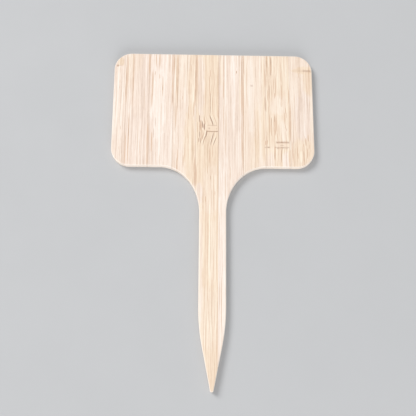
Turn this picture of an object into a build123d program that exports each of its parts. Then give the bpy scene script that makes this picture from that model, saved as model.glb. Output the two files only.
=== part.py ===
"""A T-shaped plant label stake, cut from a panel of edge-glued bamboo strips. Millimetres.

The stake lies on its back: X runs across the writing plate, Y from the point to the plate's top
edge and Z up through the board. The origin is under the middle of its length, on its back face.
"""

from build123d import *
from math import asin, atan2, hypot, sin
import os

# The whole board
board_length = 100.0
board_thickness = 2.0
arris_radius = 0.3

# The writing plate, a rectangle with round corners
plate_width = 60.0
plate_height = 36.0
plate_corner_radius = 5.3

# The stem, and the quarter ellipse that joins each side of it to the plate
stem_width = 7.8
shoulder_reach = 11.8
shoulder_drop = 14.0

# The point that goes into the soil
point_length = 17.5
point_blend_radius = 55.0
tip_radius = 0.5

# The panel that the board is cut from: bamboo strips side by side, with a film of glue in each
# joint. One joint runs down the stem, and the strips are laid outwards from it on both sides. They
# differ a little in width, so each takes its own share of strip_width. The board's sides cut
# through the panel where they fall, and an offcut too narrow to hold stays on the strip beside it.
strip_width = 6.9
stem_seam_x = 1.61
narrowest_strip = 2.0
glue_thickness = 0.1
left_width_shares = (0.965, 0.985, 1.03, 0.985)
right_width_shares = (1.04, 0.975, 1.035)

# How far a cutting block runs past the board, and how close two places are to be the same
overrun = 1.0
same_place = 0.01

# Places that follow from the sizes above
top_y = board_length / 2
tip_y = -board_length / 2
plate_bottom_y = top_y - plate_height
plate_side_x = plate_width / 2
stem_side_x = stem_width / 2
point_top_y = tip_y + point_length
shoulder_x = stem_side_x + shoulder_reach
shoulder_y = plate_bottom_y - shoulder_drop


def apex_y():
    """Where the sides of the point would meet if its tip were sharp."""
    rise = point_length - tip_radius
    half_angle = atan2(stem_side_x, rise) - asin(tip_radius / hypot(stem_side_x, rise))
    return tip_y + tip_radius - tip_radius / sin(half_angle)


def rounded(face, x, y, radius):
    """The face with a radius on its corner at x, y and on the mirror image of that corner."""
    corners = [v for v in face.vertices() if hypot(abs(v.X) - x, v.Y - y) < same_place]
    return fillet(corners, radius)


def outline():
    """The board's outline as one face. Its right half is drawn downwards and then mirrored."""
    with BuildSketch() as sketch:
        with BuildLine():
            Polyline(
                (0, top_y),
                (plate_side_x, top_y),
                (plate_side_x, plate_bottom_y),
                (shoulder_x, plate_bottom_y),
            )
            EllipticalCenterArc(
                (shoulder_x, shoulder_y), shoulder_reach, shoulder_drop, 90, arc_size=90
            )
            Polyline((stem_side_x, shoulder_y), (stem_side_x, point_top_y), (0, apex_y()))
            mirror(about=Plane.YZ)
        make_face()
    face = sketch.sketch
    face = rounded(face, plate_side_x, top_y, plate_corner_radius)
    face = rounded(face, plate_side_x, plate_bottom_y, plate_corner_radius)
    face = rounded(face, stem_side_x, point_top_y, point_blend_radius)
    return rounded(face, 0, apex_y(), tip_radius)


def blank():
    """The whole board, with its front and back arrises rounded over all the way round."""
    board = extrude(outline(), board_thickness)
    rims = board.edges().group_by(Axis.Z)
    return fillet(rims[0] + rims[-1], arris_radius)


def strip_spans(reach, width_shares):
    """Where each strip on one side starts and ends, as distances from the middle of the stem's seam.

    reach is the distance from there to that side of the plate.
    """
    spans = []
    near = glue_thickness / 2
    while near < reach:
        far = near + strip_width * width_shares[len(spans) % len(width_shares)]
        if reach - far < glue_thickness + narrowest_strip:
            far = reach
        spans.append((near, far))
        near = far + glue_thickness
    return spans


def slice_of(board, end_x, other_end_x):
    """What of the board lies between two places in X."""
    size = (abs(other_end_x - end_x), board_length + 2 * overrun, board_thickness + 2 * overrun)
    block = Pos((end_x + other_end_x) / 2, 0, board_thickness / 2) * Box(*size)
    return board & block


def export_side(board, side, direction, width_shares):
    """Writes the strips and glue films on one side, numbered outwards from the strip in the stem."""
    spans = strip_spans(plate_side_x - direction * stem_seam_x, width_shares)
    for number, (near, far) in enumerate(spans):
        name = f"{side}_strip_{number}" if number else f"stem_strip_{side}"
        near_x = stem_seam_x + direction * near
        far_x = stem_seam_x + direction * far
        if number:
            film = slice_of(board, near_x - direction * glue_thickness, near_x)
            export_step(film, f"parts/{side}_glue_film_{number}.step")
        if far == spans[-1][1]:
            far_x += direction * overrun
        export_step(slice_of(board, near_x, far_x), f"parts/{name}.step")


def main():
    """Writes one file for each bamboo strip and one for each glue film."""
    os.makedirs("parts", exist_ok=True)
    board = blank()
    export_side(board, "left", -1, left_width_shares)
    export_side(board, "right", 1, right_width_shares)
    half_film = glue_thickness / 2
    film = slice_of(board, stem_seam_x - half_film, stem_seam_x + half_film)
    export_step(film, "parts/stem_glue_film.step")


main()
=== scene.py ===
"""Finishes a plant label stake cut from edge-glued bamboo strips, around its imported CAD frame.

Blender works in metres. The grain of the bamboo is described in millimetres, because that is how
wide its fibres are: every shader and relief pattern reads object coordinates times MM_PER_METRE.
"""

import math
from collections import namedtuple

import bmesh
import bpy
from bpy.props import FloatProperty, FloatVectorProperty, PointerProperty
from bpy.types import NodeSocket, Operator, Panel, PropertyGroup
from mathutils import Euler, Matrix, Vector


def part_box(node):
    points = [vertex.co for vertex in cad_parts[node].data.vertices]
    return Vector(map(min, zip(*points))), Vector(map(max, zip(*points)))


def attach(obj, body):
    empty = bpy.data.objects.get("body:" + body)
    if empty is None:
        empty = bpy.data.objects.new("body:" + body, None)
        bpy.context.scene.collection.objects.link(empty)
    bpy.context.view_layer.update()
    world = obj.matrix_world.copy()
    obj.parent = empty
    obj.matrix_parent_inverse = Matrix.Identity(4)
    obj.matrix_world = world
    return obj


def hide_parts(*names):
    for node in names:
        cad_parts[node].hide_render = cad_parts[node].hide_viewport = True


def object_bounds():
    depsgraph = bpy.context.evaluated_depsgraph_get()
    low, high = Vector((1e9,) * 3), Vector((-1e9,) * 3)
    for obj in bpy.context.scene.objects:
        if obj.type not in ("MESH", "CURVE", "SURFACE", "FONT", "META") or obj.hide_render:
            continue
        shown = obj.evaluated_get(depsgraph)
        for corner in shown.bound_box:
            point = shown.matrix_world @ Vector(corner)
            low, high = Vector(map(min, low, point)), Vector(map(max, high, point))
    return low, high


bl_info = {
    "name": "Bamboo Plant Label",
    "version": (1, 0, 0),
    "blender": (4, 5, 0),
    "location": "3D View > Sidebar > Plant Label",
    "description": "Finishes the bamboo strips and glue films of a plant label stake",
    "category": "Object",
}

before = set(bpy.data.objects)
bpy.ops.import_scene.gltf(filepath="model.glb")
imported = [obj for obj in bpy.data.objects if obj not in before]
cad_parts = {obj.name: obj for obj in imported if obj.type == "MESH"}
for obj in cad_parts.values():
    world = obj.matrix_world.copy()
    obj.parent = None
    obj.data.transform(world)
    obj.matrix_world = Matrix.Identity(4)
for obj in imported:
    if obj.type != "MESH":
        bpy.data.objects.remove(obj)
cad_low, cad_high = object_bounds()

MM = 0.001
MM_PER_METRE = 1000.0
BODY = "root"

# The writing plate's lower and top edge, which the places along the grain are shares of
PLATE_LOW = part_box("right_strip_3")[0].y
PLATE_HIGH = cad_high.y

# The marks on a strip. Their fields have the names of their node groups' inputs. The fields of
# ACROSS are shares of the strip's width from its left edge. Those of ALONG are shares of the
# plate's height from its lower edge, less than zero on the stem. Other lengths are in millimetres.
ACROSS = ("x", "left", "right")
ALONG = ("y", "top", "bottom", "low", "high")

# One dark streak that follows the grain. Above a depth of 1 the whole of it has the core's colour.
# Lean is how far the top end lies to the right.
Streak = namedtuple("Streak", "x top bottom width depth lean", defaults=(0.0,))

# One soft patch of the tissue that is lighter or darker, and warmer or cooler, than the rest
Patch = namedtuple("Patch", "x top bottom width lightness warmth", defaults=(0.0,))

# One dark line across the grain, at a node of the culm. It doesn't bend with the grain, so a tall
# and narrow one also draws the seam beside a node, which a streak would bend away from.
CrossLine = namedtuple("CrossLine", "left right y thickness depth")

# One node of the culm, where the stem had a cross wall: a paler band that the grain bulges round,
# and how far up and down the bulge reaches
CulmNode = namedtuple("CulmNode", "left right low high paleness bulge reach_up reach_down")

# How one strip looks: its place in the random grain, how warm and how light it is, how strong its
# grain is and how far it wanders in millimetres, and its own marks
StripLook = namedtuple(
    "StripLook", "seed warmth lightness contrast wander streaks patches cross_lines culm_nodes"
)


def strip_look(streaks, patches, cross_lines=(), culm_nodes=(), **values):
    """How one strip looks, with each of its marks given as a plain row of the mark's fields."""
    return StripLook(
        streaks=[Streak(*row) for row in streaks],
        patches=[Patch(*row) for row in patches],
        cross_lines=[CrossLine(*row) for row in cross_lines],
        culm_nodes=[CulmNode(*row) for row in culm_nodes],
        **values,
    )


STRIP_LOOKS = {}

STRIP_LOOKS["left_strip_4"] = strip_look(
    seed=11.0, warmth=0.15, lightness=0.0, contrast=1.0, wander=0.12,
    streaks=(
        (0.96, 1.02, 0.50, 0.36, 0.66, 0.10),
        (0.97, 0.84, 0.58, 0.30, 0.80, 0.05),
        (0.47, 0.52, 0.24, 0.18, 0.35),
        (0.47, 0.76, 0.72, 0.24, 0.50),
        (0.46, 0.70, 0.67, 0.22, 0.45),
        (0.68, 0.345, 0.305, 0.24, 0.50),
        (0.58, 0.16, 0.13, 0.24, 0.40),
        (0.32, 0.15, 0.12, 0.24, 0.40),
        (0.25, 0.90, 0.87, 0.90, 0.42),
    ),
    patches=(
        (0.45, 0.97, 0.88, 2.20, -0.19, 0.8),
        (0.75, 0.90, 0.00, 0.36, 0.40),
        (0.33, 0.90, 0.30, 0.30, 0.25),
        (0.20, 0.88, 0.12, 0.90, 0.18),
    ),
    cross_lines=(
        (0.14, 0.38, 0.883, 0.42, 0.66),
        (0.34, 0.60, 0.885, 0.44, 0.20),
    ),
)

STRIP_LOOKS["left_strip_3"] = strip_look(
    seed=23.0, warmth=0.10, lightness=-0.06, contrast=0.8, wander=0.15,
    streaks=(
        (0.02, 1.02, 0.50, 0.32, 0.62, 0.12),
        (0.065, 1.00, 0.70, 0.30, 0.40),
        (0.13, 1.00, 0.85, 0.24, 0.40),
        (0.287, 1.03, 0.50, 0.34, 0.80, 0.05),
        (0.235, 0.79, 0.68, 0.20, 0.45),
        (0.155, 0.47, -0.01, 0.36, 0.70, -0.05),
        (0.155, 0.37, 0.23, 0.32, 0.85),
        (0.035, 0.31, -0.02, 0.36, 0.60),
        (0.57, 0.99, 0.83, 0.22, 0.35),
        (0.66, 0.26, 0.07, 0.26, 0.45),
        (0.34, 0.13, 0.04, 0.22, 0.30),
        (0.50, 0.10, 0.01, 0.22, 0.30),
        (0.62, 0.10, -0.02, 0.22, 0.30),
        (0.98, 1.02, 0.79, 0.42, 0.75, 0.05),
        (0.98, 0.39, 0.10, 0.48, 0.64),
        (0.985, 0.15, -0.02, 0.32, 0.50),
    ),
    patches=(
        (0.15, 1.04, 0.66, 1.60, 0.03, 0.3),
        (0.10, 1.02, 0.80, 0.24, 0.30, 0.2),
        (0.19, 1.00, 0.84, 0.22, 0.25),
        (0.45, 1.05, 0.84, 3.40, 0.04, 0.2),
        (0.50, 0.42, -0.05, 5.00, 0.05, -0.3),
        (0.82, 1.00, 0.50, 2.40, -0.07, -0.2),
        (0.75, 0.52, 0.24, 2.20, -0.06, -0.1),
        (0.21, 1.00, 0.74, 0.30, 0.25),
        (0.13, 0.69, 0.42, 0.80, 0.20),
        (0.21, 0.53, 0.41, 0.30, 0.25),
        (0.87, 0.23, 0.04, 0.24, 0.30),
        (0.67, 0.42, 0.30, 0.24, 0.30),
    ),
)

STRIP_LOOKS["left_strip_2"] = strip_look(
    seed=37.0, warmth=0.0, lightness=0.02, contrast=1.0, wander=0.20,
    streaks=(
        (0.005, 1.02, 0.79, 0.28, 0.60),
        (0.005, 0.39, -0.02, 0.30, 0.52),
        (0.253, 1.02, 0.87, 0.36, 0.66),
        (0.253, 0.91, 0.82, 0.22, 0.35),
        (0.408, 1.02, 0.87, 0.40, 0.70),
        (0.41, 0.90, 0.85, 0.22, 0.30),
        (0.113, 0.87, 0.49, 0.60, 0.50, 0.1),
        (0.125, 0.81, 0.58, 0.32, 0.75, 0.04),
        (0.225, 0.84, 0.80, 0.28, 0.60),
        (0.41, 0.815, 0.765, 0.28, 0.58),
        (0.549, 0.80, 0.60, 0.42, 0.58),
        (0.549, 0.715, 0.66, 0.32, 0.85),
        (0.148, 0.30, 0.10, 0.42, 0.66),
        (0.148, 0.13, -0.01, 0.22, 0.35),
        (0.324, 0.13, -0.01, 0.24, 0.45),
        (0.479, 0.10, -0.01, 0.24, 0.45),
        (0.96, 1.02, 0.77, 0.42, 0.66),
        (0.965, 0.83, 0.48, 0.42, 0.60),
        (0.97, 0.64, 0.54, 0.32, 0.80),
    ),
    patches=(
        (0.14, 1.02, 0.80, 1.70, 0.28),
        (0.42, 0.88, 0.24, 4.40, 0.25),
        (0.28, 0.42, 0.34, 0.24, -0.60),
        (0.225, 0.32, 0.24, 0.24, -0.50),
        (0.84, 1.05, 0.30, 2.20, -0.06, 0.1),
        (0.85, 0.44, -0.05, 2.20, 0.12, -0.1),
        (0.68, 0.31, 0.09, 0.30, -0.35),
    ),
)

STRIP_LOOKS["left_strip_1"] = strip_look(
    seed=41.0, warmth=0.30, lightness=0.0, contrast=0.9, wander=0.20,
    streaks=(
        (0.03, 1.02, 0.79, 0.44, 0.66, 0.05),
        (0.01, 0.84, 0.49, 0.30, 0.58),
        (0.14, 1.02, 0.61, 0.28, 0.76),
        (0.20, 1.03, 0.45, 0.32, 0.86, 0.05),
        (0.17, 1.02, 0.60, 0.56, 0.46),
        (0.14, 0.54, 0.32, 0.36, 0.58, 0.05),
        (0.28, 0.27, 0.15, 0.24, 0.45),
        (0.23, 0.15, 0.03, 0.32, 0.60),
        (0.205, 0.08, -0.08, 0.42, 0.72),
        (0.544, 0.41, 0.27, 0.24, 0.55),
        (0.54, 0.21, 0.04, 0.30, 0.60),
        (0.47, 0.10, -0.02, 0.36, 0.68),
        (0.72, 0.98, 0.77, 0.30, 0.74),
        (0.69, 0.77, 0.62, 0.32, 0.74),
        (0.78, 0.91, 0.83, 0.26, 0.60),
        (0.78, 0.74, 0.62, 0.28, 0.64),
        (0.69, 0.54, 0.40, 0.30, 0.72),
        (0.70, 0.30, 0.19, 0.24, 0.50),
        (0.985, 1.02, 0.55, 0.44, 0.80),
        (0.965, 0.71, 0.50, 0.42, 0.68),
        (0.91, 0.58, 0.42, 0.32, 0.66),
        (0.90, 0.34, 0.24, 0.26, 0.42),
        (0.41, 0.615, 0.58, 0.28, 0.55),
        (0.975, 0.10, -0.20, 0.50, 0.68),
        (0.91, 0.04, -0.06, 0.26, 0.50),
    ),
    patches=(
        (0.075, 1.00, 0.66, 0.28, 0.40),
        (0.83, 1.04, 0.44, 2.40, 0.02, 0.5),
        (0.45, 1.02, 0.55, 2.80, 0.12, 0.1),
        (0.48, 0.70, 0.32, 2.60, 0.08, -0.1),
        (0.515, 0.82, 0.55, 0.28, 0.35),
        (0.87, 0.71, 0.53, 0.28, 0.40),
        (0.76, 0.50, -0.20, 3.60, 0.0, 0.6),
        (0.22, 0.50, -0.02, 3.20, 0.09, -0.1),
        (0.17, 1.02, 0.55, 0.90, 0.0, 0.5),
        (0.09, 0.30, 0.18, 0.28, 0.30),
    ),
)

STRIP_LOOKS["stem_strip_left"] = strip_look(
    seed=53.0, warmth=0.95, lightness=0.02, contrast=0.80, wander=0.12,
    streaks=(
        (0.02, 1.02, 0.60, 0.34, 0.72),
        (0.315, 0.99, 0.83, 0.26, 0.45),
        (0.405, 0.71, 0.49, 0.28, 0.52),
        (0.676, 1.01, 0.92, 0.22, 0.42),
        (0.81, 0.84, 0.69, 0.28, 0.48),
        (0.63, 0.86, 0.79, 0.32, 0.66),
        (0.593, 0.81, 0.60, 0.30, 0.66, -0.05),
        (0.69, 0.73, 0.65, 0.24, 0.52),
        (0.728, 0.63, 0.44, 0.28, 0.66),
        (0.638, 0.67, 0.43, 0.26, 0.88),
        (0.622, 0.45, 0.345, 0.42, 1.25),
        (0.155, 0.450, 0.375, 0.32, 1.20),
        (0.205, 0.405, 0.30, 0.30, 0.80),
        (0.165, 0.43, 0.29, 0.32, 0.80),
        (0.235, 0.38, 0.27, 0.26, 0.60),
        (0.345, 0.46, 0.35, 0.26, 0.76, 0.2),
        (0.308, 0.375, 0.31, 0.22, 1.35),
        (0.265, 0.400, 0.325, 0.24, 1.35, -0.08),
        (0.06, 0.39, 0.28, 0.28, 0.66),
        (0.170, 0.31, 0.24, 0.28, 1.20),
        (0.115, 0.245, 0.20, 0.30, 0.90, 0.05),
        (0.195, 0.25, 0.19, 0.34, 1.00, -0.12),
        (0.275, 0.295, 0.21, 0.24, 0.80, 0.2),
        (0.255, 0.32, 0.21, 0.64, 0.50, 0.05),
        (0.364, 0.315, 0.245, 0.28, 1.20),
        (0.335, 0.275, 0.17, 0.28, 0.95, 0.2),
        (0.645, 0.30, 0.17, 0.32, 1.25),
        (0.645, 0.21, 0.00, 0.26, 0.62),
        (0.610, 0.18, 0.02, 0.26, 0.66),
        (0.735, 0.19, 0.06, 0.24, 0.58),
        (0.79, 0.26, 0.17, 0.32, 0.95, 0.17),
        (0.75, 0.19, 0.07, 0.26, 0.52),
        (0.98, 0.99, 0.45, 0.26, 0.42),
        (0.98, 0.57, 0.24, 0.34, 0.66),
        (0.955, 0.26, -0.75, 0.36, 0.56, 0.04),
        (0.945, -0.40, -0.98, 0.28, 0.60, 0.02),
        (0.02, 0.02, -0.18, 0.60, 0.62),
        (0.53, 0.01, -0.07, 0.28, 0.66),
        (0.668, -0.08, -0.12, 0.32, 0.76),
        (0.788, -0.04, -0.43, 0.24, 0.52),
        (0.465, -0.16, -1.10, 0.80, 0.36),
        (0.315, -0.40, -0.78, 0.24, 0.42),
        (0.675, -0.30, -0.85, 0.22, 0.42),
        (0.76, -0.42, -0.80, 0.24, 0.32),
        (0.745, -0.90, -1.32, 0.28, 0.70),
        (0.81, -0.66, -0.96, 0.24, 0.50),
        (0.45, -0.25, -0.31, 0.42, 0.64),
        (0.563, -0.23, -0.97, 0.30, 0.56),
        (0.855, -0.21, -0.25, 0.26, 0.50),
        (0.375, -0.82, -1.02, 0.32, 0.40),
        (0.56, -0.90, -1.12, 0.26, 0.45),
        (0.61, -1.07, -1.27, 0.26, 0.42),
        (0.455, -0.93, -1.22, 0.26, 0.42),
        (0.51, -1.25, -1.54, 0.28, 0.54),
        (0.77, -1.18, -1.60, 0.26, 0.52),
        (0.70, -1.31, -1.65, 0.24, 0.42),
        (0.87, -1.00, -1.32, 0.24, 0.40),
        (0.95, -1.36, -1.68, 0.26, 0.32),
        (0.965, -1.08, -1.28, 0.28, 0.60),
        (0.965, -1.20, -1.57, 0.52, 0.46),
    ),
    patches=(
        (0.21, 1.03, 0.42, 2.30, -0.04, -0.7),
        (0.17, -0.15, -0.33, 1.80, -0.05, -0.8),
        (0.27, -0.30, -1.32, 1.00, 0.15, -0.6),
        (0.65, -0.30, -1.02, 0.58, 0.32),
        (0.73, -0.06, -0.21, 0.28, 0.45),
        (0.86, -0.07, -0.21, 0.24, 0.40),
        (0.91, 0.02, -0.97, 0.26, 0.30),
        (0.665, 0.65, 0.36, 0.26, 0.55),
        (0.33, 0.79, 0.62, 0.30, 0.35, -0.3),
        (0.70, 0.02, -0.42, 5.00, 0.10, -0.3),
        (0.75, -0.42, -0.95, 2.60, 0.06, -0.2),
        (0.71, -1.20, -1.50, 0.34, 0.28),
        (0.57, -1.22, -1.48, 0.30, 0.26),
        (0.455, -1.26, -1.46, 0.28, 0.26),
        (0.60, -1.00, -1.45, 8.00, 0.06, -0.2),
        (0.75, -1.58, -2.05, 8.00, -0.06, 0.3),
    ),
    cross_lines=(
        (0.47, 1.00, 0.301, 0.30, 0.85),
        (0.965, 1.03, 0.29, 11.0, 0.36),
        (0.48, 0.55, 0.301, 0.38, 1.00),
        (0.89, 0.97, 0.301, 0.38, 1.00),
        (0.54, 0.64, 0.327, 0.55, 0.42),
        (0.88, 0.95, 0.325, 0.45, 0.40),
        (0.50, 0.96, 0.354, 0.26, 0.35),
    ),
    culm_nodes=((0.48, 1.00, 0.301, 0.354, 0.8, 0.90, 3.4, 5.0),),
)

STRIP_LOOKS["stem_strip_right"] = strip_look(
    seed=67.0, warmth=0.10, lightness=0.0, contrast=0.8, wander=0.08,
    streaks=(
        (0.194, 1.02, 0.75, 0.44, 0.45),
        (0.194, 0.81, 0.57, 0.36, 0.66),
        (0.20, 0.61, 0.24, 0.28, 0.60),
        (0.00, 0.54, 0.08, 0.22, 0.42),
        (0.07, 1.01, 0.93, 0.32, 0.32),
        (0.744, 0.855, 0.825, 0.38, 0.80),
        (0.744, 1.02, 0.87, 0.32, 0.35),
        (0.72, 0.63, 0.48, 0.26, 0.32),
        (0.962, 1.02, 0.70, 0.34, 0.80),
        (0.965, 0.92, 0.40, 0.56, 0.60),
        (0.955, 0.46, 0.05, 0.42, 0.52),
        (0.98, 0.31, -0.05, 0.26, 0.75),
        (0.277, 0.26, 0.09, 0.24, 0.56),
        (0.18, 0.13, -0.04, 0.24, 0.44),
        (0.27, -0.02, -0.32, 0.30, 0.52),
        (0.47, 0.49, 0.35, 0.22, 0.35),
        (0.475, 0.01, -0.13, 0.30, 0.48),
        (0.045, -0.38, -0.72, 0.24, 0.42),
        (0.10, -0.10, -0.50, 0.22, 0.32),
        (0.125, -0.86, -1.36, 0.26, 0.62),
        (0.05, -0.92, -1.18, 0.26, 0.38),
    ),
    patches=(
        (0.075, 0.73, 0.38, 0.32, 0.32),
        (0.10, 0.99, 0.71, 0.90, 0.05, 0.5),
        (0.275, 1.02, 0.44, 0.42, 0.28),
        (0.27, 0.43, 0.10, 0.22, 0.30),
        (0.41, 1.05, 0.40, 1.00, -0.15),
        (0.61, 1.05, 0.34, 1.50, 0.16, -0.1),
        (0.75, 0.82, 0.08, 0.70, -0.15),
        (0.88, 0.93, 0.42, 0.32, 0.05, 0.7),
        (0.82, 0.30, -0.05, 1.80, 0.18),
        (0.015, -0.28, -0.98, 0.30, 0.30),
        (0.18, 0.10, -0.60, 2.60, 0.12, -0.2),
        (0.16, -0.18, -1.02, 2.80, 0.14, -0.4),
        (0.225, -0.86, -1.38, 1.00, 0.24, -0.3),
        (0.16, -1.04, -1.30, 2.60, 0.06, -0.1),
    ),
)

STRIP_LOOKS["right_strip_1"] = strip_look(
    seed=71.0, warmth=0.40, lightness=0.04, contrast=0.75, wander=0.08,
    streaks=(
        (0.035, 1.02, 0.81, 0.30, 0.76),
        (0.015, 0.87, 0.22, 0.34, 0.66),
        (0.01, 0.32, -0.05, 0.22, 0.50),
        (0.165, 0.95, 0.50, 0.24, 0.62),
        (0.10, 0.37, 0.19, 0.22, 0.38),
        (0.842, 0.99, 0.82, 0.32, 0.38),
        (0.842, 0.75, 0.53, 0.30, 0.42),
        (0.98, 0.88, 0.70, 0.32, 0.58),
        (0.98, 0.63, 0.48, 0.36, 0.82),
        (0.664, 0.41, 0.23, 0.24, 0.42),
        (0.98, 0.23, 0.185, 0.42, 0.62),
        (0.965, 0.12, -0.02, 0.26, 0.42),
    ),
    patches=(
        (0.574, 0.90, 0.76, 0.30, -0.28),
        (0.33, 1.00, 0.28, 1.80, 0.18, -0.2),
        (0.768, 1.02, 0.68, 0.28, 0.40),
        (0.738, 0.56, -0.02, 0.28, 0.35),
        (0.07, 0.81, 0.61, 0.28, 0.35),
        (0.62, 0.58, 0.00, 1.60, -0.06, 0.4),
        (0.50, 0.25, -0.05, 2.60, 0.02, 0.2),
        (0.90, 0.57, 0.06, 1.60, -0.08, 0.5),
        (0.93, 1.00, 0.53, 1.00, -0.05, 0.4),
    ),
    cross_lines=(
        (0.32, 0.46, 0.718, 0.60, 0.38),
        (0.92, 1.05, 0.168, 0.32, 0.45),
    ),
)

STRIP_LOOKS["right_strip_2"] = strip_look(
    seed=83.0, warmth=0.80, lightness=0.04, contrast=0.9, wander=0.15,
    streaks=(
        (0.062, 1.02, 0.87, 0.58, 0.80),
        (0.05, 0.91, 0.79, 0.42, 0.48),
        (0.243, 1.00, 0.80, 0.60, 0.88, 0.05),
        (0.02, 0.84, 0.70, 0.42, 0.52),
        (0.155, 0.74, 0.59, 0.36, 0.80),
        (0.09, 0.69, 0.57, 0.32, 0.64),
        (0.015, 0.60, 0.47, 0.32, 0.42),
        (0.16, 0.59, 0.52, 0.26, 0.42),
        (0.12, 0.54, 0.47, 0.26, 0.38),
        (0.342, 0.80, 0.67, 0.36, 0.62),
        (0.42, 0.83, 0.61, 0.36, 0.68),
        (0.384, 0.66, 0.60, 0.28, 0.70),
        (0.40, 0.90, 0.82, 0.26, 0.38),
        (0.649, 0.85, 0.76, 0.32, 0.42),
        (0.60, 0.71, 0.59, 0.28, 0.48),
        (0.677, 0.74, 0.56, 0.32, 0.66),
        (0.66, 0.585, 0.525, 0.65, 0.32),
        (0.82, 0.93, 0.79, 0.26, 0.32),
        (0.972, 0.70, 0.55, 0.34, 0.66),
        (0.98, 0.58, 0.21, 0.34, 0.62),
        (0.15, 0.47, 0.28, 0.50, 0.58),
        (0.225, 0.44, 0.34, 0.32, 0.80),
        (0.14, 0.45, 0.38, 0.28, 0.70),
        (0.22, 0.41, 0.26, 0.42, 0.55),
        (0.37, 0.47, 0.26, 0.85, 0.55),
        (0.355, 0.45, 0.385, 0.30, 0.86),
        (0.40, 0.36, 0.28, 0.32, 0.66),
        (0.345, 0.32, 0.23, 0.26, 0.52),
        (0.455, 0.30, 0.21, 0.26, 0.48),
        (0.537, 0.38, 0.26, 0.26, 0.54),
        (0.44, 0.46, 0.30, 0.36, 0.64),
        (0.83, 0.525, 0.465, 0.28, 0.64),
        (0.775, 0.49, 0.36, 0.26, 0.62),
        (0.873, 0.48, 0.425, 0.26, 0.52),
        (0.83, 0.37, 0.31, 0.26, 0.66, -0.2),
        (0.00, 0.28, 0.175, 0.40, 0.50),
        (0.045, 0.235, 0.195, 0.34, 0.72),
        (0.342, 0.19, 0.05, 0.44, 0.80),
        (0.614, 0.17, 0.03, 0.40, 0.84),
        (0.72, 0.16, 0.10, 0.26, 0.42),
        (0.43, 0.06, -0.03, 0.26, 0.38),
        (0.957, 0.15, -0.03, 0.42, 0.48),
    ),
    patches=(
        (0.153, 1.02, 0.89, 0.28, 0.45),
        (0.51, 0.82, 0.69, 0.32, 0.30),
        (0.90, 1.02, 0.75, 0.50, 0.16, -0.2),
        (0.98, 0.23, 0.15, 0.40, 0.60, -0.5),
        (0.73, 0.42, 0.22, 2.20, 0.08, -0.3),
        (0.15, 0.36, 0.16, 2.60, -0.12, 0.1),
        (0.16, 0.13, -0.08, 2.40, -0.10, -0.5),
        (0.80, 0.13, -0.08, 2.00, 0.05, -0.8),
        (0.55, 0.63, 0.46, 5.00, 0.08, -0.3),
    ),
    cross_lines=(
        (0.39, 0.96, 0.213, 0.36, 0.72),
        (0.39, 0.96, 0.213, 0.80, 0.28),
        (0.42, 0.50, 0.213, 0.38, 1.00),
        (0.58, 0.70, 0.213, 0.36, 1.00),
        (0.34, 0.96, 0.168, 0.32, 0.46),
        (0.40, 0.90, 0.165, 0.70, 0.24),
        (0.42, 0.52, 0.165, 0.36, 0.70),
        (0.57, 0.76, 0.168, 0.34, 0.66),
        (0.56, 0.73, 0.187, 0.26, 0.45),
        (-0.02, 0.16, 0.168, 0.42, 0.45),
        (0.05, 0.14, 0.168, 0.42, 0.90),
    ),
    culm_nodes=((0.42, 0.95, 0.168, 0.213, 0.5, 0.15, 3.0, 3.0),),
)

STRIP_LOOKS["right_strip_3"] = strip_look(
    seed=97.0, warmth=0.35, lightness=0.0, contrast=0.9, wander=0.15,
    streaks=(
        (0.015, 0.58, 0.21, 0.36, 0.70, 0.1),
        (0.08, 0.23, 0.03, 0.30, 0.74),
        (0.235, 1.01, 0.69, 0.22, 0.32),
        (0.80, 0.88, 0.64, 2.70, 0.26),
        (0.414, 0.845, 0.795, 0.26, 0.55),
        (0.20, 0.67, 0.56, 0.24, 0.38),
        (0.886, 0.74, 0.59, 0.22, 0.38),
        (0.743, 0.29, 0.22, 0.34, 0.76),
        (0.643, 0.26, 0.18, 0.40, 0.74),
        (0.543, 0.205, 0.175, 0.28, 0.64),
        (0.80, 0.20, 0.155, 0.28, 0.54),
        (0.27, 0.19, 0.08, 0.32, 0.72),
        (0.20, 0.17, 0.10, 0.24, 0.48),
        (0.31, 0.125, 0.07, 0.26, 0.48),
        (0.543, 0.15, 0.04, 0.32, 0.76),
        (0.70, 0.17, 0.07, 0.30, 0.72),
        (0.77, 0.14, 0.09, 0.24, 0.52),
        (0.12, 0.13, -0.01, 0.26, 0.52),
        (0.60, 0.28, 0.21, 0.26, 0.42),
    ),
    patches=(
        (0.80, 0.86, 0.64, 3.20, -0.03, 0.5),
        (0.62, 0.90, 0.83, 5.20, -0.06, 0.7),
        (0.34, 0.878, 0.846, 3.60, -0.05, 0.6),
        (0.37, 0.55, 0.20, 0.60, -0.30),
        (0.26, 0.54, 0.29, 0.32, 0.22),
        (0.57, 0.54, 0.29, 0.32, 0.18),
        (0.55, 0.68, 0.23, 4.20, -0.06, -0.5),
        (0.50, 0.25, -0.08, 7.50, 0.0, 0.5),
        (0.43, 0.14, 0.04, 0.55, 0.40),
        (0.10, 0.22, -0.05, 1.20, 0.10),
        (0.92, 0.82, 0.22, 1.10, 0.16),
    ),
    cross_lines=(
        (0.58, 0.97, 0.861, 0.70, 0.50),
        (0.72, 0.96, 0.861, 0.44, 0.58),
        (0.36, 0.64, 0.861, 0.56, 0.16),
        (0.12, 0.42, 0.861, 0.56, 0.06),
    ),
)

# How dark each glue film shows, as a share of the full glue colour
GLUE_SHARES = {
    "left_glue_film_4": 0.55,
    "left_glue_film_3": 0.75,
    "left_glue_film_2": 0.80,
    "left_glue_film_1": 0.75,
    "stem_glue_film": 1.00,
    "right_glue_film_1": 0.95,
    "right_glue_film_2": 0.50,
    "right_glue_film_3": 0.65,
}


def length_property(name, description, default, minimum=0.0):
    """A property that holds a length, given here in millimetres."""
    return FloatProperty(
        name=name, description=description, default=default * MM, min=minimum * MM, unit="LENGTH"
    )


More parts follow.
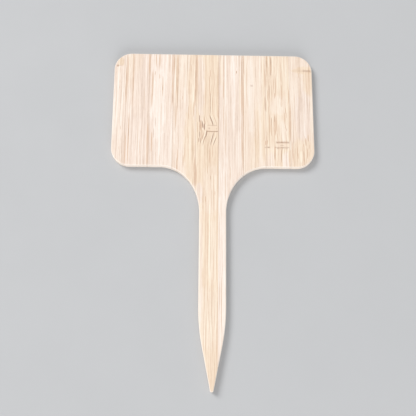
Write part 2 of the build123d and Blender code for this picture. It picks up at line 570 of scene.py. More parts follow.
def power_property(name, description, default):
    """A property that holds the power of a light, in watts."""
    return FloatProperty(name=name, description=description, default=default, min=0.0, unit="POWER")


def colour_property(name, description, default):
    """A property that holds a colour, in linear light."""
    return FloatVectorProperty(
        name=name,
        description=description,
        default=(*default, 1.0),
        size=4,
        min=0.0,
        max=1.0,
        subtype="COLOR",
    )


class BambooGrain(PropertyGroup):
    """The sizes of the bamboo's grain and of its sanded relief."""

    relief_depth: length_property(
        "Relief Depth", "How far sanding has taken the soft tissue below the hard fibres", 0.012
    )
    facet_width: length_property(
        "Facet Width", "Width across the grain of the mesh facets that carry the relief", 0.12, 0.02
    )
    facet_length: length_property(
        "Facet Length", "Length along the grain of the mesh facets that carry the relief", 0.6, 0.1
    )
    bundle_pitch: length_property(
        "Bundle Pitch", "Distance between two fibre bundles across the grain", 0.42, 0.05
    )
    bundle_length: length_property(
        "Bundle Length", "How far one fibre bundle shows along the grain", 15.0, 1.0
    )


class BoardColours(PropertyGroup):
    """The colours of the bamboo and of its glue."""

    pale: colour_property(
        "Pale Bamboo", "Soft tissue of a strip from the inside of the culm", (0.775, 0.643, 0.555)
    )
    warm: colour_property(
        "Warm Bamboo", "Soft tissue of a strip from nearer the culm's skin", (0.768, 0.618, 0.480)
    )
    # Cool Light Tissue is also the colour of the painted highlight on the arris and the cut sides
    cool_light: colour_property(
        "Cool Light Tissue", "The whitest tissue of a pale strip, and the cut sides",
        (0.838, 0.770, 0.702),
    )
    warm_light: colour_property(
        "Warm Light Tissue", "The whitest tissue of a warm strip", (0.828, 0.732, 0.590)
    )
    cool_fibre: colour_property(
        "Cool Fibres", "The darkest fibres in pale tissue", (0.615, 0.480, 0.395)
    )
    warm_fibre: colour_property(
        "Warm Fibres", "The darkest fibres of warm tissue, and single bundles", (0.600, 0.435, 0.300)
    )
    stain: colour_property("Streak Edges", "The stained sides of a streak", (0.634, 0.446, 0.318))
    streak: colour_property("Streak Cores", "The core of a dark streak", (0.385, 0.257, 0.198))
    node_line: colour_property(
        "Node Lines", "The cross lines of a culm node", (0.370, 0.216, 0.146)
    )
    glue: colour_property("Glue", "The cured glue in the joints", (0.440, 0.285, 0.195))


class StageLooks(PropertyGroup):
    """The floor and the light around the stake."""

    floor_colour: colour_property("Floor", "The plain floor under the stake", (0.46, 0.465, 0.475))
    key_power: power_property("Key Light", "Power of the large soft light at the upper left", 35.0)
    front_power: power_property(
        "Front Light", "Power of the weaker, wider light in front of the point", 25.0
    )
    fill_strength: FloatProperty(
        name="Fill Light",
        description="Strength of the even light from all round",
        default=0.58,
        min=0.0,
    )


class PlantLabelSettings(PropertyGroup):
    """All that a user would change about the finished stake."""

    grain: PointerProperty(type=BambooGrain)
    colours: PointerProperty(type=BoardColours)
    stage: PointerProperty(type=StageLooks)


# The depth in metres of the scratches and fibres that are finer than the mesh's facets
BUMP_DISTANCE = 0.004 * MM

# One random pattern: its waves in a millimetre, or in a bundle of fibres, across and along the
# grain, and its detail and roughness
Pattern = namedtuple("Pattern", "across along detail roughness", defaults=(0.5,))


class Graph:
    """Adds nodes to one node tree. Values may be sockets, which are linked, or plain values."""

    def __init__(self, tree):
        self.tree = tree

    def feed(self, socket, value):
        if isinstance(value, NodeSocket):
            self.tree.links.new(value, socket)
        else:
            socket.default_value = value

    def add(self, kind, inputs=None, **settings):
        node = self.tree.nodes.new(kind)
        for name, value in settings.items():
            setattr(node, name, value)
        for key, value in (inputs or {}).items():
            self.feed(node.inputs[key], value)
        return node

    def maths(self, operation, *values, clamp=False):
        inputs = dict(enumerate(values))
        return self.add("ShaderNodeMath", inputs, operation=operation, use_clamp=clamp).outputs[0]

    def times(self, first, second):
        return self.maths("MULTIPLY", first, second)

    def minus(self, first, second):
        return self.maths("SUBTRACT", first, second)

    def distance(self, first, second):
        return self.maths("ABSOLUTE", self.minus(first, second))

    def vector(self, operation, *values):
        inputs = dict(enumerate(values))
        return self.add("ShaderNodeVectorMath", inputs, operation=operation).outputs[0]

    def split(self, vector):
        return self.add("ShaderNodeSeparateXYZ", {0: vector}).outputs

    def join(self, x, y, z):
        return self.add("ShaderNodeCombineXYZ", {0: x, 1: y, 2: z}).outputs[0]

    def ramp(self, value, start, end, low=0.0, high=1.0):
        """A smooth step from low to high, as the value goes from start to end."""
        inputs = {0: value, 1: start, 2: end, 3: low, 4: high}
        kind = "ShaderNodeMapRange"
        return self.add(kind, inputs, interpolation_type="SMOOTHSTEP").outputs[0]

    def noise(self, place, seed, pattern):
        """Noise from 0 to 1 in a random pattern."""
        scale = (pattern.across, pattern.along, pattern.across)
        inputs = {
            "Vector": self.vector("MULTIPLY", place, scale),
            "W": seed,
            "Scale": 1.0,
            "Detail": pattern.detail,
            "Roughness": pattern.roughness,
        }
        return self.add("ShaderNodeTexNoise", inputs, noise_dimensions="4D").outputs[0]

    def swing(self, place, seed, pattern):
        """The same noise from -0.5 to 0.5."""
        return self.minus(self.noise(place, seed, pattern), 0.5)

    def layered(self, place, seed, layers):
        """The sum of swings in several patterns, each with its strength."""
        total = 0.0
        for pattern, strength in layers:
            total = self.maths("MULTIPLY_ADD", self.swing(place, seed, pattern), strength, total)
        return total

    def blend(self, factor, first, second):
        inputs = {0: factor, 6: first, 7: second}
        return self.add("ShaderNodeMix", inputs, data_type="RGBA").outputs[2]

    def group(self, name, values):
        """The outputs of a shared node group, which takes what it has inputs for from the values."""
        tree = bpy.data.node_groups.get(name) or new_group(name, *SHADER_GROUPS[name])
        node = self.add("ShaderNodeGroup", node_tree=tree)
        for socket in node.inputs:
            self.feed(socket, values[socket.name])
        return node.outputs

    def bump(self, height, strength):
        inputs = {"Strength": strength, "Distance": BUMP_DISTANCE, "Height": height}
        return self.add("ShaderNodeBump", inputs).outputs[0]


# The kinds of the node groups' sockets that aren't plain numbers
SOCKET_KINDS = {
    "Place": "NodeSocketVector",
    "Grain": "NodeSocketVector",
    "Normal": "NodeSocketVector",
    "Dark": "NodeSocketColor",
    "Tissue": "NodeSocketColor",
    "Light": "NodeSocketColor",
    "Colour": "NodeSocketColor",
    "Geometry": "NodeSocketGeometry",
    "Material": "NodeSocketMaterial",
}

# The node groups that the materials share: what fills each, and the names of its sockets. Each is
# built once, when a material first asks for it.
SHADER_GROUPS = {}


def shader_group(name, inputs, outputs):
    """Lists a function that makes a node group's outputs from its graph and its inputs."""

    def listed(fill):
        SHADER_GROUPS[name] = (fill, inputs, outputs)
        return fill

    return listed


def new_group(name, fill, inputs, outputs, kind="ShaderNodeTree"):
    """A filled node group. The names of its inputs and outputs have a comma between them."""
    tree = bpy.data.node_groups.new(name, kind)
    for in_out, names in (("INPUT", inputs), ("OUTPUT", outputs)):
        for socket_name in names.split(", "):
            socket_type = SOCKET_KINDS.get(socket_name, "NodeSocketFloat")
            tree.interface.new_socket(socket_name, in_out=in_out, socket_type=socket_type)
    graph = Graph(tree)
    made = fill(graph, tree.nodes.new("NodeGroupInput").outputs)
    for socket, value in zip(tree.nodes.new("NodeGroupOutput").inputs, made):
        graph.feed(socket, value)
    return tree


# Values with names that end in RAMP are a ramp's start and end, and then its low and its high where
# those aren't 0 and 1.

# The slow and the quick swings of the wandering grain, with their strengths
WANDER_LAYERS = (
    (Pattern(0.02, 0.045, 1.0), 2.0),
    (Pattern(0.35, 0.16, 1.0), 0.35),
)


@shader_group("Grain Space", "Place, Seed, Wander", "Grain")
def grain_space(graph, given):
    """Turns a place in millimetres into one whose lines of constant X follow the grain."""
    sway = graph.layered(given["Place"], given["Seed"], WANDER_LAYERS)
    sway = graph.times(sway, given["Wander"])
    return [graph.vector("ADD", given["Place"], graph.join(sway, 0.0, 0.0))]


# How far right of a culm node's left end, in millimetres, the bulge starts and is full
BULGE_RAMP = (-2.0, 0.6)


@shader_group("Node Bulge", "Grain, Left, Low, High, Bulge, Reach Up, Reach Down", "Grain")
def node_bulge(graph, given):
    """Bends the grain sideways where it passes a culm node."""
    x, y, z = graph.split(given["Grain"])
    above = graph.maths("DIVIDE", graph.minus(y, given["High"]), given["Reach Up"])
    below = graph.maths("DIVIDE", graph.minus(given["Low"], y), given["Reach Down"])
    near = graph.ramp(graph.maths("MAXIMUM", above, below), 1.0, 0.0)
    inside = graph.ramp(graph.minus(x, given["Left"]), *BULGE_RAMP)
    shift = graph.times(graph.times(near, inside), given["Bulge"])
    return [graph.join(graph.minus(x, shift), y, z)]


# The layers of the fibres' tone, with their strengths
TONE_LAYERS = (
    (Pattern(0.22, 0.20, 1.0, 0.7), 0.3),
    (Pattern(0.60, 0.45, 1.0, 0.7), 0.6),
    (Pattern(1.00, 0.55, 1.0, 0.7), 1.5),
    (Pattern(1.70, 1.10, 2.0, 0.7), 2.0),
    (Pattern(1.30, 9.00, 1.0, 0.7), 0.5),
)

# The finer patterns of the fibres
FINE_FIBRES = Pattern(7.0, 0.20, 3.0, 0.6)
STRANDS = Pattern(3.2, 0.45, 2.0, 0.6)
BLOTCHES = Pattern(0.7, 0.30, 3.0, 0.65)

# A single bundle's edge, as shares of a bundle from its middle, and how strongly a bundle shows by
# its own random number
BUNDLE_RAMP = (0.45, 0.15)
CHOICE_RAMP = (0.55, 1.0)


@shader_group(
    "Bamboo Fibres",
    "Grain, Seed, Bundle Pitch, Bundle Length, Contrast",
    "Tone, Bundles, Fibres, Strands, Blotches",
)
def bamboo_fibres(graph, given):
    """The tone of the fibres, from 0, dark, to 1, light, single hard bundles and finer patterns."""
    grain, seed, pitch = given["Grain"], given["Seed"], given["Bundle Pitch"]
    cells = graph.vector("DIVIDE", grain, graph.join(pitch, given["Bundle Length"], pitch))
    tone = graph.layered(cells, seed, TONE_LAYERS)
    cells = graph.vector("ADD", cells, graph.join(seed, seed, seed))
    inputs = {"Vector": cells, "Scale": 1.0, "Randomness": 1.0}
    bundle = graph.add("ShaderNodeTexVoronoi", inputs, feature="F1").outputs
    core = graph.ramp(bundle["Distance"], *BUNDLE_RAMP)
    chosen = graph.ramp(graph.split(bundle["Color"])[0], *CHOICE_RAMP)
    return [
        graph.maths("MULTIPLY_ADD", tone, given["Contrast"], 0.5),
        graph.times(core, chosen),
        graph.noise(grain, seed, FINE_FIBRES),
        graph.noise(grain, seed, STRANDS),
        graph.noise(grain, seed, BLOTCHES),
    ]


@shader_group("Bamboo Tone", "Tone, Dark, Tissue, Light", "Colour")
def bamboo_tone(graph, given):
    """The colour of a tone from 0, dark, over the plain tissue at a half, to 1, light."""
    below = graph.maths("MULTIPLY", given["Tone"], 2.0, clamp=True)
    above = graph.maths("MULTIPLY_ADD", given["Tone"], 2.0, -1.0, clamp=True)
    colour = graph.blend(below, given["Dark"], given["Tissue"])
    return [graph.blend(above, colour, given["Light"])]


# How bluntly streaks and patches end along the grain
BLUNTNESS = 3.0

# A streak's edge and the edge of its pale sides, and how far from its middle those lie, all in
# halves of its width
STREAK_RAMP = (-0.25, 0.45)
SIDES_RAMP = (0.0, 0.8)
SIDES_AWAY = 1.8

# A patch's edge, where 1 is its plain outline, and how far the fibres' blotches push it about
PATCH_RAMP = (1.5, 0.4)
RAGGEDNESS = 3.0

# How far, in millimetres, the lines of a culm node rise and fall across the grain
RIPPLES = Pattern(1.1, 0.0, 2.0)
RIPPLE_SEED = 5.0
RIPPLE_HEIGHT = 0.4

# The ends of a cross line or a band in millimetres, a line's edge as shares of its thickness, and
# a band's edge in millimetres
ENDS_RAMP = (-0.1, 0.3)
LINE_RAMP = (0.75, 0.25)
BAND_RAMP = (-0.05, 0.15)


def share_along(graph, given, y):
    """How far along a mark Y lies, from -1 at the mark's bottom to 1 at its top."""
    middle = graph.times(graph.maths("ADD", given["Top"], given["Bottom"]), 0.5)
    half = graph.times(graph.minus(given["Top"], given["Bottom"]), 0.5)
    return graph.maths("DIVIDE", graph.minus(y, middle), half)


@shader_group("Grain Streak", "Grain, X, Top, Bottom, Width, Lean, Depth", "Mask, Sides")
def grain_streak(graph, given):
    """Masks of one dark streak along the grain with tapered ends, and of its pale sides."""
    x, y, _ = graph.split(given["Grain"])
    along = share_along(graph, given, y)
    axis = graph.maths("MULTIPLY_ADD", along, given["Lean"], given["X"])
    off = graph.maths("DIVIDE", graph.distance(x, axis), graph.times(given["Width"], 0.5))
    taper = graph.minus(1.0, graph.maths("POWER", graph.maths("ABSOLUTE", along), BLUNTNESS))
    mask = graph.ramp(graph.minus(taper, off), *STREAK_RAMP)
    sides = graph.ramp(graph.minus(taper, graph.distance(off, SIDES_AWAY)), *SIDES_RAMP)
    return [graph.times(mask, given["Depth"]), graph.times(sides, given["Depth"])]


@shader_group("Grain Patch", "Grain, Blotches, X, Top, Bottom, Width", "Mask")
def grain_patch(graph, given):
    """The mask of one soft patch along the grain, with a ragged outline."""
    x, y, _ = graph.split(given["Grain"])
    across = graph.minus(x, given["X"])
    across = graph.maths("DIVIDE", across, graph.times(given["Width"], 0.5))
    along = graph.maths("ABSOLUTE", share_along(graph, given, y))
    away = graph.maths("ADD", graph.maths("POWER", along, BLUNTNESS), graph.times(across, across))
    away = graph.maths("MULTIPLY_ADD", graph.minus(given["Blotches"], 0.5), RAGGEDNESS, away)
    return [graph.ramp(away, *PATCH_RAMP)]


def inside_span(graph, value, low, high):
    """How far a value lies inside a span."""
    return graph.maths("MINIMUM", graph.minus(value, low), graph.minus(high, value))


def cross_frame(graph, given):
    """Y rippled a little across the grain, and a mask of what lies between left and right."""
    x, y, _ = graph.split(given["Place"])
    ripple = graph.swing(given["Place"], RIPPLE_SEED, RIPPLES)
    y = graph.maths("MULTIPLY_ADD", ripple, RIPPLE_HEIGHT, y)
    inside = inside_span(graph, x, given["Left"], given["Right"])
    return y, graph.ramp(inside, *ENDS_RAMP)


@shader_group("Cross Line", "Place, Left, Right, Y, Thickness", "Mask")
def cross_line(graph, given):
    """The mask of one dark line across the grain."""
    y, inside = cross_frame(graph, given)
    off = graph.maths("DIVIDE", graph.distance(y, given["Y"]), given["Thickness"])
    return [graph.times(graph.ramp(off, *LINE_RAMP), inside)]


@shader_group("Node Band", "Place, Left, Right, Low, High", "Mask")
def node_band(graph, given):
    """The mask of the band between a culm node's two lines."""
    y, inside = cross_frame(graph, given)
    band = graph.ramp(inside_span(graph, y, given["Low"], given["High"]), *BAND_RAMP)
    return [graph.times(band, inside)]


# How upright the normal is from a flat face to its arris, and from the wall, where the painted
# highlight is weaker, to the arris. How far it points along the grain from long grain to end grain.
ARRIS_RAMP = (0.985, 0.75)
WALL_RAMP = (0.0, 0.45, 0.72, 1.0)
END_GRAIN_RAMP = (0.35, 0.85)


@shader_group("Cut Edge", "Normal", "Side, End Grain")
def cut_edge(graph, given):
    """Masks of a painted highlight on the arris and cut sides, and of where a face cuts the grain.
    """
    _, y, z = graph.split(given["Normal"])
    upright = graph.maths("ABSOLUTE", z)
    rim_highlight = graph.times(graph.ramp(upright, *ARRIS_RAMP), graph.ramp(upright, *WALL_RAMP))
    return [rim_highlight, graph.ramp(graph.maths("ABSOLUTE", y), *END_GRAIN_RAMP)]


# The patterns that sanding and handling leave
SCRATCHES = Pattern(14.0, 0.6, 2.0, 0.6)
SCRATCH_SEED = 3.0
HANDLING_MARKS = Pattern(0.10, 0.08, 3.0, 0.55)
HANDLING_SEED = 8.0


@shader_group("Sanding Marks", "Place", "Scratches, Handling")
def sanding_marks(graph, given):
    """Fine scratches and soft handling marks left on a sanded face."""
    scratches = graph.noise(given["Place"], SCRATCH_SEED, SCRATCHES)
    return [scratches, graph.noise(given["Place"], HANDLING_SEED, HANDLING_MARKS)]


def new_material(name):
    """A material with a Principled shader, and that shader's inputs."""
    material = bpy.data.materials.new(name)
    material.use_nodes = True
    return material, material.node_tree.nodes["Principled BSDF"].inputs


def place_in_mm(graph):
    """The shaded point in millimetres in the stake's own frame, and its normal there."""
    coordinates = graph.add("ShaderNodeTexCoord").outputs
    scale = (MM_PER_METRE,) * 3
    return graph.vector("MULTIPLY", coordinates["Object"], scale), coordinates["Normal"]


# How much lighter the tissue is beside a streak
STREAK_SIDE_TONE = 0.25

# How far a streak is broken by the strands of fibre, and the depths between which it takes the
# stain's and the core's colour
BREAK_RAMP = (0.36, 0.56, 0.78, 1.0)
STAIN_RAMP = (0.0, 0.75, 0.0, 0.95)
CORE_RAMP = (0.60, 1.05, 0.0, 0.88)

# How fully single bundles, cross lines and end grain take their own colours, and how far a
# painted highlight lightens the arris and the cut sides of bamboo and of glue
BUNDLE_SHARE = 0.50
CROSS_LINE_SHARE = 0.85
PAINTED_HIGHLIGHT_SHARE = 0.80
GLUE_PAINTED_HIGHLIGHT_SHARE = 0.35
END_GRAIN_SHARE = 0.05

# The handling marks between which the roughness falls from the first to the second of its pair,
# what bundles and scratches add to it, and the level of the bamboo's reflections
HANDLING = (0.35, 0.70)
BAMBOO_ROUGHNESS = (0.62, 0.50)
GLUE_ROUGHNESS = (0.50, 0.38)
BUNDLE_ROUGHNESS = -0.10
SCRATCH_ROUGHNESS = 0.08
BAMBOO_SPECULAR = 0.35

# How strongly the bump shows, and the share of the fibres in it beside the scratches
BAMBOO_BUMP = 0.35
GLUE_BUMP = 0.25
FIBRE_BUMP = 0.6


class BambooGraph(Graph):
    """The nodes of one strip's bamboo, from the strip's box and its look."""

    def __init__(self, tree, node, look, settings):
        super().__init__(tree)
        self.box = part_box(node)
        self.look = look
        self.colours = settings.colours
        self.place, normal = place_in_mm(self)
        self.grain = self.bent_grain()
        values = {
            "Grain": self.grain,
            "Seed": look.seed,
            "Bundle Pitch": settings.grain.bundle_pitch * MM_PER_METRE,
            "Bundle Length": settings.grain.bundle_length * MM_PER_METRE,
            "Contrast": look.contrast,
        }
        self.fibres = self.group("Bamboo Fibres", values)
        self.bundles = self.times(self.fibres["Bundles"], BUNDLE_SHARE)
        self.edge = self.group("Cut Edge", {"Normal": normal})
        self.sanding = self.group("Sanding Marks", {"Place": self.place})

    def mark(self, kind, mark, **values):
        """The outputs of one mark's node group, with the mark's shares turned into millimetres."""
        low, high = self.box
        for field, value in mark._asdict().items():
            if field in ACROSS:
                value = (low.x + (high.x - low.x) * value) * MM_PER_METRE
            elif field in ALONG:
                value = (PLATE_LOW + (PLATE_HIGH - PLATE_LOW) * value) * MM_PER_METRE
            values[field.replace("_", " ").title()] = value
        return self.group(kind, values)

    def bent_grain(self):
        """Places in the grain, which wanders and bulges round the culm nodes."""
        values = {"Place": self.place, "Seed": self.look.seed, "Wander": self.look.wander}
        grain = self.group("Grain Space", values)[0]
        for culm_node in self.look.culm_nodes:
            grain = self.mark("Node Bulge", culm_node, Grain=grain)[0]
        return grain

    def streaks_and_sides(self):
        """Masks of the dark streaks, broken by the strands of fibre, and of their pale sides."""
        streaks, sides = 0.0, 0.0
        for streak in self.look.streaks:
            masks = self.mark("Grain Streak", streak, Grain=self.grain)
            streaks = self.maths("MAXIMUM", streaks, masks["Mask"])
            sides = self.maths("MAXIMUM", sides, masks["Sides"])
        broken = self.ramp(self.fibres["Strands"], *BREAK_RAMP)
        return self.times(streaks, broken), sides

    def tissue_and_grain(self, sides):
        """The colour of the plain tissue, and the colour of the grain with its patches."""
        colours = self.colours
        warmth = self.look.warmth
        tone = self.maths("ADD", self.fibres["Tone"], self.look.lightness)
        tone = self.maths("MULTIPLY_ADD", sides, STREAK_SIDE_TONE, tone)
        blotches = self.fibres["Blotches"]
        for patch in self.look.patches:
            mask = self.mark("Grain Patch", patch, Grain=self.grain, Blotches=blotches)[0]
            warmth = self.maths("MULTIPLY_ADD", mask, patch.warmth, warmth)
            tone = self.maths("MULTIPLY_ADD", mask, patch.lightness, tone)
        tissue = self.blend(warmth, colours.pale, colours.warm)
        values = {
            "Tone": tone,
            "Dark": self.blend(warmth, colours.cool_fibre, colours.warm_fibre),
            "Tissue": tissue,
            "Light": self.blend(warmth, colours.cool_light, colours.warm_light),
        }
        return tissue, self.group("Bamboo Tone", values)[0]

    def base_colour(self):
        """The grain, single bundles, streaks, culm nodes and a painted highlight on the cut sides.
        """
        colours = self.colours
        streaks, sides = self.streaks_and_sides()
        tissue, colour = self.tissue_and_grain(sides)
        colour = self.blend(self.bundles, colour, colours.warm_fibre)
        for culm_node in self.look.culm_nodes:
            band = self.mark("Node Band", culm_node, Place=self.place)[0]
            band = self.times(band, culm_node.paleness)
            colour = self.blend(band, colour, tissue)
            streaks = self.times(streaks, self.minus(1.0, band))
        colour = self.blend(self.ramp(streaks, *STAIN_RAMP), colour, colours.stain)
        colour = self.blend(self.ramp(streaks, *CORE_RAMP), colour, colours.streak)
        lines = 0.0
        for line in self.look.cross_lines:
            mask = self.mark("Cross Line", line, Place=self.place)[0]
            lines = self.maths("MAXIMUM", lines, self.times(mask, line.depth))
        colour = self.blend(self.times(lines, CROSS_LINE_SHARE), colour, colours.node_line)
        # Painted highlight: the arris and the cut sides are lightened toward the light tissue colour
        rim_highlight = self.times(self.edge["Side"], PAINTED_HIGHLIGHT_SHARE)
        colour = self.blend(rim_highlight, colour, colours.cool_light)
        end = self.times(self.edge["End Grain"], END_GRAIN_SHARE)
        return self.blend(end, colour, colours.warm_fibre)

    def roughness(self):
        """Smoother where the stake was handled and on the hard bundles, rougher in scratches."""
        rough = self.ramp(self.sanding["Handling"], *HANDLING, *BAMBOO_ROUGHNESS)
        rough = self.maths("MULTIPLY_ADD", self.bundles, BUNDLE_ROUGHNESS, rough)
        return self.maths("MULTIPLY_ADD", self.sanding["Scratches"], SCRATCH_ROUGHNESS, rough)


def bamboo_material(node, look, settings):
    """Sanded bamboo for one strip, with its own grain, streaks, patches and culm nodes."""
    material, shader = new_material(f"bamboo_{node}")
    graph = BambooGraph(material.node_tree, node, look, settings)
    graph.feed(shader["Base Color"], graph.base_colour())
    graph.feed(shader["Roughness"], graph.roughness())
    shader["Specular IOR Level"].default_value = BAMBOO_SPECULAR
    scratches = graph.sanding["Scratches"]
    height = graph.maths("MULTIPLY_ADD", graph.fibres["Fibres"], FIBRE_BUMP, scratches)
    graph.feed(shader["Normal"], graph.bump(height, BAMBOO_BUMP))
    return material


# How uneven the glue is along a seam
UNEVEN_GLUE = Pattern(0.9, 0.12, 3.0, 0.6)
UNEVEN_RAMP = (0.30, 0.65, 0.70, 1.0)

# The span in millimetres over which the glue grows darker from the stem to the plate, and how
# dark it is on the stem as a share of how dark it is on the plate
GLUE_FADE = (-4.0, 10.0)
GLUE_ON_STEM = 0.18


def glue_material(node, share, settings):
    """Cured glue, amber brown, sanded flush with the bamboo on both sides of it."""
    colours = settings.colours
    material, shader = new_material(f"glue_{node}")
    graph = Graph(material.node_tree)
    place, normal = place_in_mm(graph)
    edge = graph.group("Cut Edge", {"Normal": normal})
    sanding = graph.group("Sanding Marks", {"Place": place})
    patchy = graph.ramp(graph.noise(place, share, UNEVEN_GLUE), *UNEVEN_RAMP)
    y = graph.split(place)[1]
    shown = graph.ramp(y, *GLUE_FADE, GLUE_ON_STEM * share, share)
    colour = graph.blend(graph.times(patchy, shown), colours.pale, colours.glue)
    # Painted highlight: the glue's arris and cut sides are lightened toward the light tissue colour
    rim_highlight = graph.times(edge["Side"], GLUE_PAINTED_HIGHLIGHT_SHARE)
    colour = graph.blend(rim_highlight, colour, colours.cool_light)
    graph.feed(shader["Base Color"], colour)
    rough = graph.ramp(sanding["Handling"], *HANDLING, *GLUE_ROUGHNESS)
    graph.feed(shader["Roughness"], rough)
    graph.feed(shader["Normal"], graph.bump(sanding["Scratches"], GLUE_BUMP))
    return material


# Points nearer than this, in millimetres, count as one point, and faces that meet at less than
# FLAT_ANGLE as one plane. Edges that meet at more than SHARP_ANGLE aren't shaded smooth.
NEAR = 1e-4
FLAT_ANGLE = math.radians(0.2)
SHARP_ANGLE = math.radians(40.0)

# The relief's pattern, with one wave for each bundle, and which of it sinks
RELIEF = Pattern(1.0, 1.0, 2.0, 0.6)
RELIEF_RAMP = (0.35, 0.65)
RELIEF_INPUTS = "Geometry, Depth, Pitch, Length, Seed, Material"


def fibre_relief(graph, given):
    """Geometry nodes that sink the soft tissue of a faceted strip below its fibre bundles."""
    place = graph.add("GeometryNodeInputPosition").outputs[0]
    bundle = graph.join(given["Pitch"], given["Length"], given["Pitch"])
    soft = graph.noise(graph.vector("DIVIDE", place, bundle), given["Seed"], RELIEF)
    sunk = graph.times(graph.ramp(soft, *RELIEF_RAMP), given["Depth"])
    _, y, z = graph.split(graph.add("GeometryNodeInputNormal").outputs[0])
    inward = graph.vector("MULTIPLY", graph.join(0.0, y, z), (-1.0, -1.0, -1.0))
    offset = graph.vector("MULTIPLY", inward, graph.join(sunk, sunk, sunk))
    moved = graph.add("GeometryNodeSetPosition", {"Geometry": given["Geometry"], "Offset": offset})
    whole = graph.add("GeometryNodeRealizeInstances", {"Geometry": moved.outputs[0]})
    inputs = {"Geometry": whole.outputs[0], "Material": given["Material"]}
    return [graph.add("GeometryNodeSetMaterial", inputs).outputs[0]]


def cut_into_facets(mesh, width, length):
    """Cuts a mesh into facets of that width in X and that length in Y."""
    low = [min(vertex.co[axis] for vertex in mesh.verts) for axis in (0, 1)]
    high = [max(vertex.co[axis] for vertex in mesh.verts) for axis in (0, 1)]
    for axis, step in ((0, width), (1, length)):
        count = round((high[axis] - low[axis]) / step)
        for number in range(1, count):
            place, direction = [0.0, 0.0, 0.0], [0.0, 0.0, 0.0]
            place[axis] = low[axis] + (high[axis] - low[axis]) * number / count
            direction[axis] = 1.0
            geometry = mesh.verts[:] + mesh.edges[:] + mesh.faces[:]
            bmesh.ops.bisect_plane(
                mesh, geom=geometry, dist=NEAR, plane_co=place, plane_no=direction
            )


def faceted_strip(node, sizes):
    """A mesh of the CAD strip in small facets, ready to take the relief of the grain."""
    mesh = bmesh.new()
    mesh.from_mesh(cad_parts[node].data)
    bmesh.ops.scale(mesh, vec=(MM_PER_METRE,) * 3, verts=mesh.verts)
    bmesh.ops.remove_doubles(mesh, verts=mesh.verts, dist=NEAR)
    bmesh.ops.dissolve_limit(mesh, angle_limit=FLAT_ANGLE, verts=mesh.verts, edges=mesh.edges)
    cut_into_facets(mesh, sizes.facet_width * MM_PER_METRE, sizes.facet_length * MM_PER_METRE)
    crowded = [face for face in mesh.faces if len(face.verts) > 4]
    bmesh.ops.triangulate(mesh, faces=crowded)
    bmesh.ops.scale(mesh, vec=(MM,) * 3, verts=mesh.verts)
    for face in mesh.faces:
        face.smooth = True
    data = bpy.data.meshes.new(f"{node}_facets")
    mesh.to_mesh(data)
    mesh.free()
    return data


def with_relief(piece, tree, values):
    """Bakes the geometry nodes' result into the piece's own mesh."""
    modifier = piece.modifiers.new("Fibre Relief", "NODES")
    modifier.node_group = tree
    for item in tree.interface.items_tree:
        if item.in_out == "INPUT" and item.name in values:
            modifier[item.identifier] = values[item.name]
    evaluated = piece.evaluated_get(bpy.context.evaluated_depsgraph_get())
    baked = bpy.data.meshes.new_from_object(evaluated)
    piece.modifiers.remove(modifier)
    piece.data = baked
    baked.set_sharp_from_angle(angle=SHARP_ANGLE)


class PLANT_LABEL_OT_bamboo_strips(Operator):
    """Make the bamboo strips, with the relief of their grain, in place of the plain CAD strips"""

    bl_idname = "plant_label.bamboo_strips"
    bl_label = "Bamboo Strips"

    def execute(self, context):
        settings = context.scene.plant_label
        sizes = settings.grain
        tree = new_group(
            "Fibre Relief", fibre_relief, RELIEF_INPUTS, "Geometry", kind="GeometryNodeTree"
        )
        for node, look in STRIP_LOOKS.items():
            piece = bpy.data.objects.new(f"{node}_bamboo", faceted_strip(node, sizes))
            context.scene.collection.objects.link(piece)
            values = {
                "Depth": sizes.relief_depth,
                "Pitch": sizes.bundle_pitch,
                "Length": sizes.bundle_length,
                "Seed": look.seed,
                "Material": bamboo_material(node, look, settings),
            }
            with_relief(piece, tree, values)
            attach(piece, BODY)
            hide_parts(node)
        return {"FINISHED"}


class PLANT_LABEL_OT_glue_films(Operator):
    """Give each CAD glue film the look of cured, sanded glue"""

    bl_idname = "plant_label.glue_films"
    bl_label = "Glue Films"

    def execute(self, context):
        settings = context.scene.plant_label
        for node, share in GLUE_SHARES.items():
            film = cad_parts[node]
            film.data.materials.clear()
            film.data.materials.append(glue_material(node, share, settings))
        return {"FINISHED"}


# The camera that took the photograph, found from the stake's outline in it
CAMERA_PLACE = Vector((-5.33, -53.02, 196.27)) * MM
CAMERA_TURN = Euler(math.radians(angle) for angle in (15.598, -1.279, 0.396))
CAMERA_SENSOR = 36.0
CAMERA_LENS = 60.75
CAMERA_CLIP_START = 0.01

# The floor, its mottle, and how much lighter and smoother the mottle makes it
FLOOR_SIZE = 4.0
MOTTLE = Pattern(0.05, 0.05, 4.0, 0.6)
MOTTLE_SEED = 1.0
MOTTLE_LIGHTER = 1.04
MOTTLE_ROUGHNESS = (0.3, 0.7, 0.85, 0.75)

# The two round lights, which face the stake, their colour and that of the air
KEY_PLACE = Vector((-1.30, 0.95, 1.45))
KEY_SIZE = 1.1
FRONT_PLACE = Vector((0.25, -1.75, 0.62))
FRONT_SIZE = 1.4
LIGHT_COLOUR = (1.0, 0.99, 0.975)
AIR_COLOUR = (0.96, 0.98, 1.0, 1.0)


def floor_material(colour):
    """Plain pale board with a barely visible mottle."""
    material, shader = new_material("studio_floor")
    graph = Graph(material.node_tree)
    place, _ = place_in_mm(graph)
    mottle = graph.noise(place, MOTTLE_SEED, MOTTLE)
    lighter = tuple(min(1.0, value * MOTTLE_LIGHTER) for value in colour[:3]) + (1.0,)
    graph.feed(shader["Base Color"], graph.blend(mottle, colour, lighter))
    graph.feed(shader["Roughness"], graph.ramp(mottle, *MOTTLE_ROUGHNESS))
    return material


def lay_floor(scene, colour):
    """A plain floor under the stake."""
    mesh = bmesh.new()
    bmesh.ops.create_grid(mesh, x_segments=2, y_segments=2, size=FLOOR_SIZE / 2)
    data = bpy.data.meshes.new("studio_floor")
    mesh.to_mesh(data)
    mesh.free()
    data.materials.append(floor_material(colour))
    floor = bpy.data.objects.new("studio_floor", data)
    scene.collection.objects.link(floor)


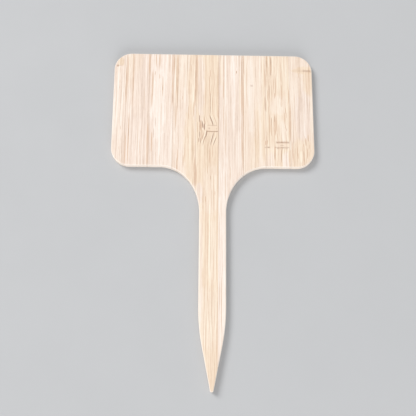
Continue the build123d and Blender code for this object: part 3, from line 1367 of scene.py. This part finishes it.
def soft_light(scene, name, place, size, power):
    """A round area light that faces the stake."""
    light = bpy.data.lights.new(name, "AREA")
    light.shape = "DISK"
    light.size = size
    light.energy = power
    light.color = LIGHT_COLOUR
    lamp = bpy.data.objects.new(name, light)
    lamp.location = place
    lamp.rotation_euler = (-place).to_track_quat("-Z", "Y").to_euler()
    scene.collection.objects.link(lamp)


def even_light(scene, strength):
    """Even light from all round."""
    world = bpy.data.worlds.new("studio_air")
    world.use_nodes = True
    air = world.node_tree.nodes["Background"].inputs
    air["Color"].default_value = AIR_COLOUR
    air["Strength"].default_value = strength
    scene.world = world


def photo_camera(scene):
    """The camera at the photograph's own angle."""
    lens = bpy.data.cameras.new("photo_camera")
    lens.sensor_width = CAMERA_SENSOR
    lens.lens = CAMERA_LENS
    lens.clip_start = CAMERA_CLIP_START
    camera = bpy.data.objects.new("photo_camera", lens)
    camera.location = CAMERA_PLACE
    camera.rotation_euler = CAMERA_TURN
    scene.collection.objects.link(camera)
    scene.camera = camera


class PLANT_LABEL_OT_stage(Operator):
    """Make the floor, the soft light and the camera"""

    bl_idname = "plant_label.stage"
    bl_label = "Stage"

    def execute(self, context):
        scene = context.scene
        looks = scene.plant_label.stage
        lay_floor(scene, tuple(looks.floor_colour))
        soft_light(scene, "key_light", KEY_PLACE, KEY_SIZE, looks.key_power)
        soft_light(scene, "front_light", FRONT_PLACE, FRONT_SIZE, looks.front_power)
        even_light(scene, looks.fill_strength)
        photo_camera(scene)
        scene.view_settings.view_transform = "Standard"
        return {"FINISHED"}


class PLANT_LABEL_PT_sidebar(Panel):
    """The stake's steps and settings in the 3D view's sidebar"""

    bl_label = "Plant Label"
    bl_space_type = "VIEW_3D"
    bl_region_type = "UI"
    bl_category = "Plant Label"

    def draw(self, context):
        settings = context.scene.plant_label
        for operator in OPERATORS:
            self.layout.operator(operator.bl_idname)
        for group in (settings.grain, settings.colours, settings.stage):
            for name in group.__annotations__:
                self.layout.prop(group, name)


OPERATORS = (PLANT_LABEL_OT_bamboo_strips, PLANT_LABEL_OT_glue_films, PLANT_LABEL_OT_stage)
PROPERTY_GROUPS = (BambooGrain, BoardColours, StageLooks, PlantLabelSettings)
CLASSES = (*PROPERTY_GROUPS, *OPERATORS, PLANT_LABEL_PT_sidebar)


def register():
    for each in CLASSES:
        bpy.utils.register_class(each)
    bpy.types.Scene.plant_label = PointerProperty(type=PlantLabelSettings)


def unregister():
    del bpy.types.Scene.plant_label
    for each in reversed(CLASSES):
        bpy.utils.unregister_class(each)


def main():
    register()
    bpy.ops.plant_label.bamboo_strips()
    bpy.ops.plant_label.glue_films()
    bpy.ops.plant_label.stage()


if __name__ == "__main__":
    main()
